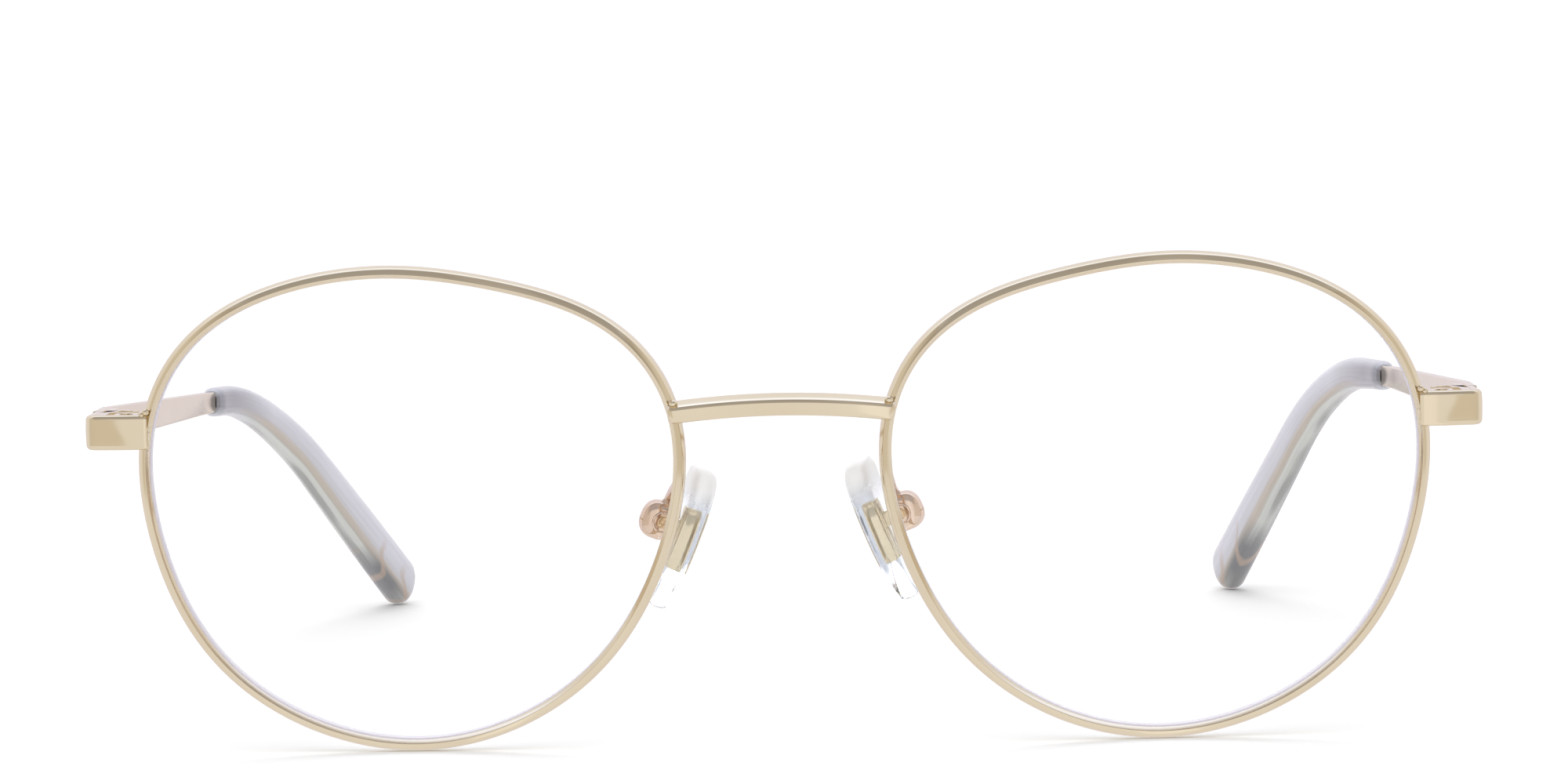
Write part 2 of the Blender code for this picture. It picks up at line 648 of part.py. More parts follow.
def build_pad(side_name, side, frame):
    axes = pad_frame()
    joint = add_empty(side_name + "_pad_axis", Matrix.Diagonal((side, 1, 1)) @ PAD_PIVOT, frame)
    add_part(side_name + "_nose_pad", moved(pad_shape(), axes), SILICONE, side, joint, PAD_PIVOT)
    insert = add_part(side_name + "_pad_insert", moved(insert_shape(), axes), GOLD, side, joint, PAD_PIVOT)
    lug = add_solid(side_name + "_pad_lug_tool", moved(lug_shape(), axes), side, joint, PAD_PIVOT)
    combine(insert, lug, "UNION")
    hole = moved(extruded_across(circle((0, 0), PAD_SCREW[0] + RUNNING_GAP), 2 * MM), axes)
    cut(insert, add_solid(side_name + "_pad_lug_hole_tool", hole, side, joint, PAD_PIVOT))
    box = add_part(side_name + "_pad_box", moved(box_shape(), axes), GOLD, side, frame, PAD_PIVOT)
    cut(box, add_solid(side_name + "_pad_box_slot_tool", moved(box_slot(), axes), side, frame, PAD_PIVOT))
    cut(box, add_solid(side_name + "_pad_box_hole_tool", hole, side, frame, PAD_PIVOT))
    head_seat = Matrix.Translation((PIVOT_OUT, -BOX_HALF_WIDTH - RUNNING_GAP, PIVOT_UP))
    facing_front = axes @ head_seat @ Matrix.Rotation(math.pi / 2, 4, "X")
    add_screw(side_name + "_pad_screw", facing_front, PAD_SCREW, side, frame, PAD_PIVOT)
    add_part(side_name + "_pad_arm", arm_shape(), GOLD, side, frame, ARM_START[0])


def build_temple(side_name, side, frame):
    hinge_place = Vector((HINGE_X, HINGE_Y, ENDPIECE_Z))
    joint = add_empty(side_name + "_temple_axis", Matrix.Diagonal((side, 1, 1)) @ hinge_place, frame)
    add_part(side_name + "_temple", temple_shape(), GOLD, side, joint, hinge_place)
    add_hinge_half(side_name + "_temple_hinge", 1, side, joint, hinge_place)
    add_part(side_name + "_temple_tip", tip_shape(), ACETATE, side, joint, hinge_place)


def build():
    clear_scene()
    frame = add_empty("eyeglasses_front_frame", (0, FRONT_Y, 0))
    bridge = add_part("bridge", bridge_shape(), GOLD, 1, frame, (0, BRIDGE_CENTRE_Y, BRIDGE_END_Z))
    for side_name, side in SIDES.items():
        build_front(side_name, side, frame)
        build_rim_lock(side_name, side, frame)
        build_pad(side_name, side, frame)
        build_temple(side_name, side, frame)
        cut(bridge, add_solid(side_name + "_bridge_seat_tool", rim_seat(*BRIDGE_SEAT), side, frame))


build()
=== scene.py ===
"""Looks of the round metal eyeglasses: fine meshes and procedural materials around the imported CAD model.

Lengths are in metres in the model's frame: +X is the wearer's left, +Y runs back to the temple tips and +Z
is up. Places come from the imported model's joints and boxes. Each piece is written for the wearer's left side
and mirrored in x for the right side.
"""
import json
import math

import bmesh
import bpy
from mathutils import Matrix, Vector


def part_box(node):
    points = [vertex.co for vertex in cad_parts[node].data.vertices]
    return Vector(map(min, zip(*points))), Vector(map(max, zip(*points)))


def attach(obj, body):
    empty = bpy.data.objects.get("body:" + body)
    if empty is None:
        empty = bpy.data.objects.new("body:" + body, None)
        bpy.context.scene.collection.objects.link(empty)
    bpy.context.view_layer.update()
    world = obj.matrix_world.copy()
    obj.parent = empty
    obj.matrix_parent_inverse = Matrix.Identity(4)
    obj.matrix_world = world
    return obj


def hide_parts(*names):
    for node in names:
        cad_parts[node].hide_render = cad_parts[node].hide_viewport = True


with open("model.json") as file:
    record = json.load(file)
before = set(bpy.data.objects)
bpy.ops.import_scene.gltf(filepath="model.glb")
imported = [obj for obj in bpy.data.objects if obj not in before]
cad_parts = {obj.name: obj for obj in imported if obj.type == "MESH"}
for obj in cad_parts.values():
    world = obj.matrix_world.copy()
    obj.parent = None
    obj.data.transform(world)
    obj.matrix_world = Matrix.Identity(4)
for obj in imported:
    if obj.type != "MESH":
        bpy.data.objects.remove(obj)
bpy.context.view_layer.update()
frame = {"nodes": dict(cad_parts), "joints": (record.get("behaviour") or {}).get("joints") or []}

MM = 0.001
SIDES = {"right": -1, "left": 1}

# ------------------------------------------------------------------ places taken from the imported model
joints = {joint["name"]: joint for joint in frame["joints"]}
HINGE = Vector(joints["left_temple_fold"]["pos_m"])
PAD_PIVOT = Vector(joints["left_pad_rock"]["pos_m"])
PAD_ACROSS = Vector(joints["left_pad_rock"]["axis"]).normalized()
OUTER_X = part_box("left_endpiece")[1].x
STRIP_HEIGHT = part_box("left_endpiece")[1].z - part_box("left_endpiece")[0].z
ENDPIECE_FRONT_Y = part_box("left_endpiece")[0].y
FRONT_Y = HINGE.y - 9.0 * MM
TOP_Z = HINGE.z + STRIP_HEIGHT / 2

# ------------------------------------------------------------------ lens outline and front form
LENS_WIDTH = 52 * MM
BRIDGE_WIDTH = 20 * MM
MEAN_RADIUS = 0.4731 * LENS_WIDTH
LENS_CENTRE_X = (LENS_WIDTH + BRIDGE_WIDTH) / 2 + 0.25 * MM
LENS_CENTRE_Z = 24.31 * MM
COSINE_WAVES = {2: 0.0597, 3: -0.0071, 4: -0.0090, 6: -0.0056}
SINE_WAVES = {3: 0.0405, 4: -0.0053, 5: 0.0073}
BASE_CURVE = 120 * MM
FRONT_TILT = math.radians(3.5)
FACE_FORM = math.radians(3.2)
SPLIT_ANGLE = math.radians(15.6)
SPLIT_HALF_GAP = 0.0005
RIM_STEPS = 320


# ------------------------------------------------------------------ mesh helpers
def add_piece(name, shape, material, body, stands_for=(), side=1, sharp=40.0, values=None):
    """One closed mesh on its body; values are per-point numbers kept as attributes for its material."""
    points, faces = shape
    mesh = bmesh.new()
    corners = [mesh.verts.new((side * point[0], point[1], point[2])) for point in points]
    for face in faces:
        mesh.faces.new([corners[index] for index in face])
    bmesh.ops.recalc_face_normals(mesh, faces=mesh.faces)
    data = bpy.data.meshes.new(name)
    mesh.to_mesh(data)
    mesh.free()
    for label, numbers in (values or {}).items():
        data.attributes.new(label, "FLOAT", "POINT").data.foreach_set("value", numbers)
    data.shade_smooth()
    if sharp:
        data.set_sharp_from_angle(angle=math.radians(sharp))
    piece = bpy.data.objects.new(name, data)
    bpy.context.scene.collection.objects.link(piece)
    data.materials.append(material)
    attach(piece, body)
    if stands_for:
        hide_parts(*stands_for)
    return piece


def loft(rings):
    """Skins equal rings of points one after another and closes both ends."""
    count = len(rings[0])
    points = [point for ring in rings for point in ring]
    faces = [tuple(range(count)), tuple(range(len(points) - count, len(points)))]
    for level in range(len(rings) - 1):
        for step in range(count):
            here, there = level * count + step, level * count + (step + 1) % count
            faces.append((here, there, there + count, here + count))
    return points, faces


def fan_closed(shape, first, count, centre):
    """Closes a ring of count points starting at first with triangles around an extra centre point."""
    points, faces = shape
    points.append(centre)
    faces.extend((first + step, first + (step + 1) % count, len(points) - 1) for step in range(count))


def arc(centre, radii, start, end, steps):
    """Points on an elliptic arc in a section's plane; the angles are in degrees."""
    points = []
    for step in range(steps + 1):
        angle = math.radians(start + (end - start) * step / steps)
        points.append((centre[0] + radii[0] * math.cos(angle), centre[1] + radii[1] * math.sin(angle)))
    return points


def scaled(section):
    """Turns a section in millimetres into one in metres."""
    return [(a * MM, b * MM) for a, b in section]


def rounded_bar(half_width, half_height, radius, steps=5):
    """Section of a flat bar with round edges."""
    w, h = half_width - radius, half_height - radius
    section = []
    for x, y, start in ((w, h, 0), (-w, h, 90), (-w, -h, 180), (w, -h, 270)):
        section += arc((x, y), (radius, radius), start, start + 90, steps)
    return section


def oval(half_width, half_height, steps, squareness=2.0):
    """Superellipse section; squareness 2 is an ellipse, larger is boxier."""
    points = []
    for step in range(steps):
        angle = 2 * math.pi * (step + 0.5) / steps
        c, s = math.cos(angle), math.sin(angle)
        points.append((half_width * math.copysign(abs(c) ** (2 / squareness), c),
                       half_height * math.copysign(abs(s) ** (2 / squareness), s)))
    return points


def placed(section, centre, sideways, upwards):
    """Stands a flat section in space, with its first number along sideways and its second along upwards."""
    return [centre + sideways * w + upwards * h for w, h in section]


def smooth_path(points, steps):
    """Catmull-Rom curve through the points."""
    knots = [points[0] * 2 - points[1]] + points + [points[-1] * 2 - points[-2]]
    path = []
    for index in range(1, len(knots) - 2):
        a, b, c, d = knots[index - 1:index + 3]
        for step in range(steps):
            t = step / steps
            path.append(0.5 * (2 * b + (c - a) * t + (2 * a - 5 * b + 4 * c - d) * t ** 2
                               + (3 * b - a - 3 * c + d) * t ** 3))
    return path + [points[-1]]


def swept(path, sections, sideways_hint):
    """Sweeps one section per path point; the section's width runs square to the path and to the hint."""
    rings = []
    for index, (centre, section) in enumerate(zip(path, sections)):
        along = (path[min(index + 1, len(path) - 1)] - path[max(index - 1, 0)]).normalized()
        broad = along.cross(sideways_hint).normalized()
        rings.append(placed(section, centre, broad, broad.cross(along)))
    return loft(rings)


def bead_shape(centre, radii):
    """Small rounded solder bead."""
    rings = []
    steps, count = 14, 24
    for step in range(1, steps):
        polar = math.pi * step / steps
        ring = []
        for turn in range(count):
            angle = 2 * math.pi * turn / count
            sides = radii[0] * math.sin(polar) * math.cos(angle), radii[1] * math.sin(polar) * math.sin(angle)
            ring.append(centre + Vector((*sides, radii[2] * math.cos(polar))))
        rings.append(ring)
    return loft(rings)


# ------------------------------------------------------------------ lens plane
def outline_radius(angle):
    """Lens edge distance from the lens centre; the angle runs from the temple side up over the brow."""
    wave = 1.0
    wave += sum(size * math.cos(lobes * angle) for lobes, size in COSINE_WAVES.items())
    wave += sum(size * math.sin(lobes * angle) for lobes, size in SINE_WAVES.items())
    return MEAN_RADIUS * wave


def outline_point(angle, outset):
    """Point on the lens edge, moved outwards square to the edge, as (sideways, up)."""
    step = 1e-4
    radius = outline_radius(angle)
    growth = (outline_radius(angle + step) - outline_radius(angle - step)) / (2 * step)
    along = Vector((growth * math.cos(angle) - radius * math.sin(angle),
                    growth * math.sin(angle) + radius * math.cos(angle))).normalized()
    edge = Vector((radius * math.cos(angle), radius * math.sin(angle)))
    return edge + Vector((along.y, -along.x)) * outset


def on_front(sideways, up, depth):
    """Carries a point of the flat lens plane onto the curved, wrapped and tilted front."""
    sag = (sideways ** 2 + up ** 2) / (2 * BASE_CURVE)
    point = Matrix.Rotation(FACE_FORM, 3, "Z") @ Vector((sideways, sag + depth, up))
    point.x += LENS_CENTRE_X
    point = Matrix.Rotation(FRONT_TILT, 3, "X") @ point
    return point + Vector((0, FRONT_Y, LENS_CENTRE_Z))


# ------------------------------------------------------------------ rims and lenses
def rim_section():
    """Eyewire section as (outwards, backwards) from the lens edge: a steep flat bevel towards the lens, a
    crisp ridge, a long convex face that runs into the outer side, a round back and the groove of the lens."""
    section = arc((-0.526, -0.37), (0.03, 0.03), 180, 213, 2)
    section += arc((-0.152, -0.833), (0.09, 0.09), 213, 284, 8)
    section += arc((-0.528, -0.012), (1.128, 0.964), 290, 360, 24)
    section += arc((0.150, 0.36), (0.45, 0.42), 4, 90, 8)
    section += arc((-0.456, 0.68), (0.10, 0.10), 90, 180, 4)
    section += arc((-0.50, 0.36), (0.05, 0.05), 180, 270, 2)
    section += arc((-0.10, 0.0), (0.05, 0.06), 50, -50, 4)
    return scaled(section)


def rim_shape():
    """Eyewire swept round the lens from one side of its split to the other."""
    section = rim_section()
    start, end = SPLIT_ANGLE + SPLIT_HALF_GAP, SPLIT_ANGLE + 2 * math.pi - SPLIT_HALF_GAP
    rings = []
    for step in range(RIM_STEPS + 1):
        angle = start + (end - start) * step / RIM_STEPS
        rings.append([on_front(*outline_point(angle, out), back) for out, back in section])
    return loft(rings)


LENS_HALF = 0.75 * MM
LENS_EDGE_BACK = 1.00 * MM
LENS_EDGE = [(-0.65, -0.75), (-0.60, -0.70), (-0.60, -0.31), (-0.17, -0.02), (-0.17, 0.02), (-0.60, 0.31),
             (-0.60, 0.95), (-0.65, 1.00)]
LENS_RINGS = [0.96, 0.9, 0.8, 0.65, 0.5, 0.33, 0.16]


def lens_shape():
    """Meniscus lens, a little thicker at its bevelled edge, with a value that marks its ground part."""
    count = 192
    angles = [2 * math.pi * step / count for step in range(count)]
    face_edge = [outline_point(angle, LENS_EDGE[0][0] * MM) for angle in angles]
    rings = [[on_front(*(point * share), -LENS_HALF) for point in face_edge] for share in LENS_RINGS[::-1]]
    for out, back in LENS_EDGE:
        rings.append([on_front(*outline_point(angle, out * MM), back * MM) for angle in angles])
    for share in LENS_RINGS:
        depth = LENS_HALF + (LENS_EDGE_BACK - LENS_HALF) * share ** 2
        rings.append([on_front(*(point * share), depth) for point in face_edge])
    shape = loft(rings)
    del shape[1][:2]
    last = len(shape[0]) - count
    fan_closed(shape, 0, count, on_front(0, 0, -LENS_HALF))
    fan_closed(shape, last, count, on_front(0, 0, LENS_HALF))
    ground = range(len(LENS_RINGS) + 4, len(LENS_RINGS) + len(LENS_EDGE) - 1)
    values = [1.0 if index // count in ground else 0.0 for index in range(len(shape[0]))]
    return shape, {"ground_edge": values}


# ------------------------------------------------------------------ bridge
BRIDGE_HALF_SPAN = 10.95 * MM
BRIDGE_ARCH = 0.7 * MM


def bridge_section():
    """Bar section as (backwards, up): upright front, soft shoulder, long top sloping back, round back."""
    section = arc((-0.35, -0.55), (0.50, 0.50), 270, 180, 7)
    section += arc((-0.33, 0.12), (0.52, 0.52), 180, 131, 8)
    section += arc((1.10, -1.526), (2.70, 2.70), 131, 105, 8)
    section += arc((0.479, 0.792), (0.30, 0.30), 105, 0, 6)
    section += arc((0.429, -0.70), (0.35, 0.35), 0, -90, 6)
    return scaled(section)


def bridge_shape():
    """Bar arched over the nose, its ends rounded off over the rims' fronts."""
    low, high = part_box("bridge")
    centre_y = (low.y + high.y) / 2
    end_z = high.z - BRIDGE_ARCH - 1.05 * MM
    rings = []
    steps = 80
    for step in range(steps + 1):
        x = -BRIDGE_HALF_SPAN * math.cos(math.pi * step / steps)
        share = abs(x) / BRIDGE_HALF_SPAN
        past = max(0.0, (share - 0.955) / 0.045)
        end_round = 0.55 + 0.45 * math.sqrt(max(0.0, 1 - past * past))
        lift = 0.30 * MM * share ** 6
        centre = Vector((x, centre_y + lift, end_z + BRIDGE_ARCH * (1 - share ** 2)))
        lean = Vector((BRIDGE_HALF_SPAN, 0, -2 * BRIDGE_ARCH * x / BRIDGE_HALF_SPAN)).normalized()
        up = Vector((-lean.z, 0, lean.x))
        section = [(w * end_round, h * (0.3 + 0.7 * end_round)) for w, h in bridge_section()]
        rings.append(placed(section, centre, Vector((0, 1, 0)), up))
    return loft(rings)


# ------------------------------------------------------------------ endpiece
def strip_section(inset=0.0):
    """Endpiece strip as (outwards, up) with a gently pillowed outer face and soft outer edges."""
    section = []
    for step in range(13):
        up = -1.22 + 2.44 * step / 12
        section.append((0.50 - 0.04 * (up / 1.22) ** 2, up))
    section += arc((0.0, 1.22), (0.463, 0.48), 8, 90, 9)
    section += arc((-0.40, 1.60), (0.10, 0.10), 90, 180, 3)
    section += arc((-0.40, -1.60), (0.10, 0.10), 180, 270, 3)
    section += arc((0.0, -1.22), (0.463, 0.48), 270, 352, 9)
    shrink = 1 - inset / 0.5
    return [(a * MM * shrink, b * MM * (1 - inset / 1.7)) for a, b in section]


def endpiece_shape():
    """Strip that starts beside the rim, turns a round corner and runs back to the hinge."""
    thickness = 1.0 * MM
    middle_x, middle_y = OUTER_X - thickness / 2, ENDPIECE_FRONT_Y + thickness / 2
    radius = 0.9 * MM
    inner_x = 61.35 * MM
    corner = (middle_x - radius, middle_y + radius + 0.3 * MM)
    lead = math.radians(13)
    run = corner[0] + radius * math.sin(lead) - inner_x
    join_y = corner[1] - radius * math.cos(lead)
    plan = []
    for step in range(25):
        part = step / 24
        y = join_y - run * math.tan(lead) * (1 - part * part) / 2
        plan.append((inner_x + run * part, y, math.atan(math.tan(lead) * part)))
    for step in range(1, 17):
        turn = lead + (math.pi / 2 - lead) * step / 16
        plan.append((corner[0] + radius * math.sin(turn), corner[1] - radius * math.cos(turn), turn))
    end_y = HINGE.y - 0.04 * MM
    for part in (0.3, 0.6, 0.9, 0.97, 1.0):
        plan.append((middle_x, corner[1] + (end_y - corner[1]) * part, math.pi / 2))
    rings = []
    for index, (x, y, turn) in enumerate(plan):
        inset = {0: 0.06, len(plan) - 1: 0.08}.get(index, 0.0)
        outwards = Vector((math.sin(turn), -math.cos(turn), 0))
        rings.append(placed(strip_section(inset), Vector((x, y, HINGE.z)), outwards, Vector((0, 0, 1))))
    return loft(rings)


# ------------------------------------------------------------------ temple
SQUARE_END_Y = HINGE.y + 6 * MM
STRIP_THICKNESS = 1.0 * MM
STRIP_END_HEIGHT = 2.3 * MM
TIP_START_Y = FRONT_Y + 87.2 * MM
TIP_CENTRE_Y = FRONT_Y + 141 * MM
TIP_END_RADIUS = 2.5 * MM
CORE_END_Y = FRONT_Y + 121 * MM
# Each temple is adjusted a little differently: (slopes before and after, (place, half length)), first
# inwards, then down.
BENDS = {
    "right": (((0.0175, 0.349), (96.1, 16.8)), ((0.0411, 0.715), (106.0, 13.4))),
    "left": (((0.0181, 0.315), (94.1, 16.5)), ((0.0342, 0.792), (108.7, 10.8))),
}


def bent(y, bend):
    """Offset of a line whose slope changes from one to the other over a soft bend at (place, half length)."""
    (before, after), (place, half) = bend
    place, half = FRONT_Y + place * MM, half * MM
    value = before * max(y - SQUARE_END_Y, 0.0)
    into = min(max(y - (place - half), 0.0), 2 * half)
    value += (after - before) * into ** 2 / (4 * half)
    return value + (after - before) * max(y - (place + half), 0.0)


def temple_centre(y, bends):
    """Middle of the temple at y."""
    return Vector((OUTER_X - STRIP_THICKNESS / 2 - bent(y, bends[0]), y, HINGE.z - bent(y, bends[1])))


def temple_axes(y, bends):
    """(outwards, upwards, along) of the temple at y, square to each other."""
    step = 1e-5
    along = (temple_centre(y + step, bends) - temple_centre(y - step, bends)).normalized()
    outwards = along.cross(Vector((0, 0, 1))).normalized()
    return outwards, outwards.cross(along), along


def temple_ring(y, bends, section):
    """A section stood square to the temple at y."""
    outwards, upwards, _ = temple_axes(y, bends)
    return placed(section, temple_centre(y, bends), outwards, upwards)


def temple_shape(bends):
    """Tapering strip with softly rounded edges, ending in the core wire inside the tip."""
    start = HINGE.y + 0.04 * MM
    rings = []
    stations = [(start, 0.08), (start + 0.08 * MM, 0.0)]
    stations += [(start + (TIP_START_Y - 0.1 * MM - start) * step / 40, 0.0) for step in range(1, 41)]
    for y, inset in stations:
        part = max(0.0, (y - SQUARE_END_Y) / (TIP_START_Y - SQUARE_END_Y))
        height = STRIP_HEIGHT + (STRIP_END_HEIGHT - STRIP_HEIGHT) * part
        inset *= MM
        section = rounded_bar(STRIP_THICKNESS / 2 - inset, height / 2 - inset, 0.2 * MM - inset / 2)
        rings.append(temple_ring(y, bends, section))
    for step in range(25):
        y = TIP_START_Y - 0.08 * MM + (CORE_END_Y - TIP_START_Y) * step / 24
        rings.append(temple_ring(y, bends, rounded_bar(0.45 * MM, 0.75 * MM, 0.15 * MM)))
    return loft(rings)


TIP_COUNT = 48


def tip_size(part):
    """Half thickness and half height of the acetate tip at a fraction of its length."""
    swell = part * part * (3 - 2 * part)
    collar = 1 - 0.22 * max(0.0, 1 - part / 0.03) ** 2
    return (1.3 + 0.55 * part) * MM * collar, (1.62 + 1.23 * swell) * MM * collar


def tip_shape(bends):
    """Acetate tip with along (0 to 1), inwards and upwards values for the streaks that follow its length."""
    length = TIP_CENTRE_Y - TIP_START_Y
    rings, along_values = [], []

    def add(ring, part):
        rings.append(ring)
        along_values.extend([part] * TIP_COUNT)

    for step in range(17):
        y = CORE_END_Y + 0.4 * MM + (TIP_START_Y - CORE_END_Y - 0.4 * MM) * step / 16
        add(temple_ring(y, bends, oval(0.57 * MM, 0.87 * MM, TIP_COUNT, 4.0)), (y - TIP_START_Y) / length)
    collar_parts = [0.0, 0.0012, 0.003, 0.006, 0.010, 0.016, 0.023, 0.03]
    for part in collar_parts + [0.04 + 0.96 * step / 44 for step in range(45)]:
        add(temple_ring(TIP_START_Y + length * part, bends, oval(*tip_size(part), TIP_COUNT, 2.5)), part)
    outwards, upwards, along = temple_axes(TIP_CENTRE_Y, bends)
    for step in range(1, 12):
        angle = math.radians(7.6 * step)
        reach, shrink = math.sin(angle), math.cos(angle)
        section = oval(tip_size(1)[0] * shrink, tip_size(1)[1] * shrink, TIP_COUNT, 2.5 - 0.5 * reach)
        centre = temple_centre(TIP_CENTRE_Y, bends) + along * TIP_END_RADIUS * reach
        add(placed(section, centre, outwards, upwards), 1.0 + TIP_END_RADIUS * reach / length)
    turns = [2 * math.pi * (step + 0.5) / TIP_COUNT for step in range(TIP_COUNT)] * len(rings)
    inwards_values = [-math.cos(turn) for turn in turns]
    upwards_values = [math.sin(turn) for turn in turns]
    return loft(rings), {"along": along_values, "inwards": inwards_values, "upwards": upwards_values}


# ------------------------------------------------------------------ nose pads
PAD_LENGTH = 14.5 * MM
PAD_WIDTH = 7.6 * MM
PAD_THICKNESS = 2.4 * MM
PAD_LEAN = math.radians(22.4)
PIVOT_OUT = 2.65 * MM
PIVOT_UP = 0.85 * MM
BOX_HALF_WIDTH = 1.3 * MM
BOX_HALF_HEIGHT = 1.9 * MM
PAD_NUDGE = {"right": Vector((0, 0, 0)), "left": Vector((-0.65 * MM, 0, 0.43 * MM))}


def pad_axes(side_name):
    """Matrix from pad axes (out, across, along) to the model's frame, standing on the rocking joint. The left
    pad is adjusted a little closer and higher than the right one, as a fitter leaves it."""
    across = PAD_ACROSS
    along = Vector((-math.sin(PAD_LEAN), 0, math.cos(PAD_LEAN)))
    along = (along - across * along.dot(across)).normalized()
    out = across.cross(along)
    axes = Matrix((out, across, along)).transposed().to_4x4()
    axes.translation = PAD_PIVOT + PAD_NUDGE[side_name] - out * PIVOT_OUT - along * PIVOT_UP
    return axes


def pad_ring(axes, half_along, half_across, out, count=64, squareness=(4.0, 2.2)):
    """Outline seen square on: broad and blunt at the top, narrower and rounder below."""
    ring = []
    for step in range(count):
        angle = 2 * math.pi * step / count
        c, s = math.cos(angle), math.sin(angle)
        power = 2 / squareness[0 if s > 0 else 1]
        across = half_across * (1 + 0.15 * s) * math.copysign(abs(c) ** power, c)
        up = half_along * math.copysign(abs(s) ** power, s)
        curl = 0.45 * MM * max(0.0, up / (PAD_LENGTH / 2)) ** 2
        ring.append(axes @ Vector((out + curl, across, up)))
    return ring


def pad_shape(axes):
    """Clear silicone body moulded around the metal insert, with soft edges and a domed face to the nose."""
    half, length, width = PAD_THICKNESS / 2, PAD_LENGTH / 2, PAD_WIDTH / 2
    profile = [(0.30, 1.0), (0.60, 0.995), (0.80, 0.97), (0.90, 0.89), (0.955, 0.76), (0.985, 0.55),
               (1.0, 0.25), (1.0, -0.05), (0.99, -0.32), (0.96, -0.55), (0.90, -0.72), (0.80, -0.85),
               (0.64, -0.94), (0.42, -0.985), (0.18, -1.0)]
    rings = [pad_ring(axes, length * (0.5 + 0.5 * size), width * size, half * out) for size, out in profile]
    flat = [(axes.inverted() @ point) for ring in rings for point in ring]
    return loft(rings), {"up_pad": [point.z / length for point in flat]}


def insert_shape(axes):
    """Metal plate with rounded edges inside the pad."""
    rings = []
    for inset, out in ((0.12, -0.66), (0.04, -0.64), (0.0, -0.55), (0.0, 0.0), (0.04, 0.09), (0.12, 0.11)):
        rings.append(pad_ring(axes, (3.1 - inset) * MM, (0.65 - inset) * MM, out * MM, squareness=(2.6, 2.4)))
    return loft(rings)


def lug_shape(axes):
    """Rounded lug that stands on the plate between the pad box's walls."""
    rings = []
    half_profile = ((0.40, 0.0), (0.47, 0.03), (0.50, 0.10))
    for across, inset in [(-across, inset) for across, inset in half_profile[::-1]] + list(half_profile):
        radius = (0.75 - inset) * MM
        outline = [(PIVOT_OUT + a, PIVOT_UP + b) for a, b in arc((0, 0), (radius, radius), -90, 90, 16)]
        outline += [(0.05 * MM, PIVOT_UP + radius), (0.05 * MM, PIVOT_UP - radius)]
        rings.append([axes @ Vector((out, across * MM, along)) for out, along in outline])
    return loft(rings)


def box_ring(axes, out, half_across, half_along, squareness):
    """Outline of the pad box at a distance out from the rocking axis, in millimetres."""
    section = oval(half_across, half_along, 44, squareness)
    return [axes @ Vector((PIVOT_OUT + out * MM, across, PIVOT_UP + along)) for across, along in section]


def box_shape(axes):
    """Bulbous cast pad box, hollow towards the pad so that the lug can rock inside."""
    rings = []
    steps = 12
    for step in range(steps):
        angle = math.radians(8 + 82 * step / steps)
        size = math.sin(angle) ** 0.85
        out = 0.35 + 1.80 * math.cos(angle) ** 0.8
        rings.append(box_ring(axes, out, BOX_HALF_WIDTH * size, BOX_HALF_HEIGHT * size, 2.5 + 0.7 * size))
    for out, size in ((0.1, 1.0), (-0.2, 0.99), (-0.5, 0.96), (-0.7, 0.91), (-0.80, 0.85), (-0.83, 0.79)):
        rings.append(box_ring(axes, out, BOX_HALF_WIDTH * size, BOX_HALF_HEIGHT * size, 3.2))
    hollow = ((-0.81, 0.68, 1.18), (-0.7, 0.66, 1.16), (0.8, 0.66, 1.16), (0.9, 0.55, 1.0))
    for out, half_across, half_along in hollow:
        rings.append(box_ring(axes, out, half_across * MM, half_along * MM, 5.0))
    return loft(rings)


# First points of the strap in millimetres, with y measured from the front of the rims.
ARM_START = [(9.95, 2.45, 27.5), (9.95, 4.2, 26.9), (10.35, 5.9, 25.4)]


def arm_shape(axes):
    """Flat strap from the back of the rim, curving down into the top of the pad box."""
    start = [Vector(p) * MM + Vector((0, FRONT_Y, 0)) for p in ARM_START]
    end = [axes @ Vector((PIVOT_OUT + 0.1 * MM, 0, PIVOT_UP + above * MM)) for above in (2.6, 1.45)]
    path = smooth_path(start + end, 12)
    sections = []
    for index in range(len(path)):
        flare = max(0.0, index / (len(path) - 1) - 0.7) / 0.3
        sections.append(rounded_bar((0.75 + 0.2 * flare) * MM, (0.38 + 0.35 * flare ** 2) * MM, 0.3 * MM))
    return swept(path, sections, Vector((1, 0, 0.25)))


# ------------------------------------------------------------------ screws
def turned_about(seat, axis, profile, count=48):
    """Solid of revolution from (radius, height) pairs in millimetres; axis points out of the head."""
    axis = axis.normalized()
    side_a = axis.orthogonal().normalized()
    side_b = axis.cross(side_a)
    rings = []
    for radius, height in profile:
        ring = []
        for step in range(count):
            angle = 2 * math.pi * step / count
            reach = side_a * math.cos(angle) + side_b * math.sin(angle)
            ring.append(seat + reach * radius * MM + axis * height * MM)
        rings.append(ring)
    return loft(rings), side_a


def screw_shape(seat, axis, shaft, head, head_height, length):
    """Low-head screw with its slot cut as a valley across the head; sizes in millimetres."""
    profile = [(shaft * 0.7, -length), (shaft, -length + shaft * 0.3), (shaft, 0), (head * 0.97, 0),
               (head, head_height * 0.1), (head, head_height * 0.6), (head * 0.95, head_height * 0.85)]
    first_top = len(profile)
    profile += [(head * share, head_height) for share in (0.82, 0.7, 0.55, 0.4, 0.25, 0.1)]
    count = 48
    shape, side_a = turned_about(seat, axis, profile, count)
    for index in range(first_top * count, len(shape[0])):
        point = shape[0][index]
        if abs((point - seat).dot(side_a)) < head * 0.17 * MM:
            shape[0][index] = point - axis.normalized() * head_height * 0.55 * MM
    return shape


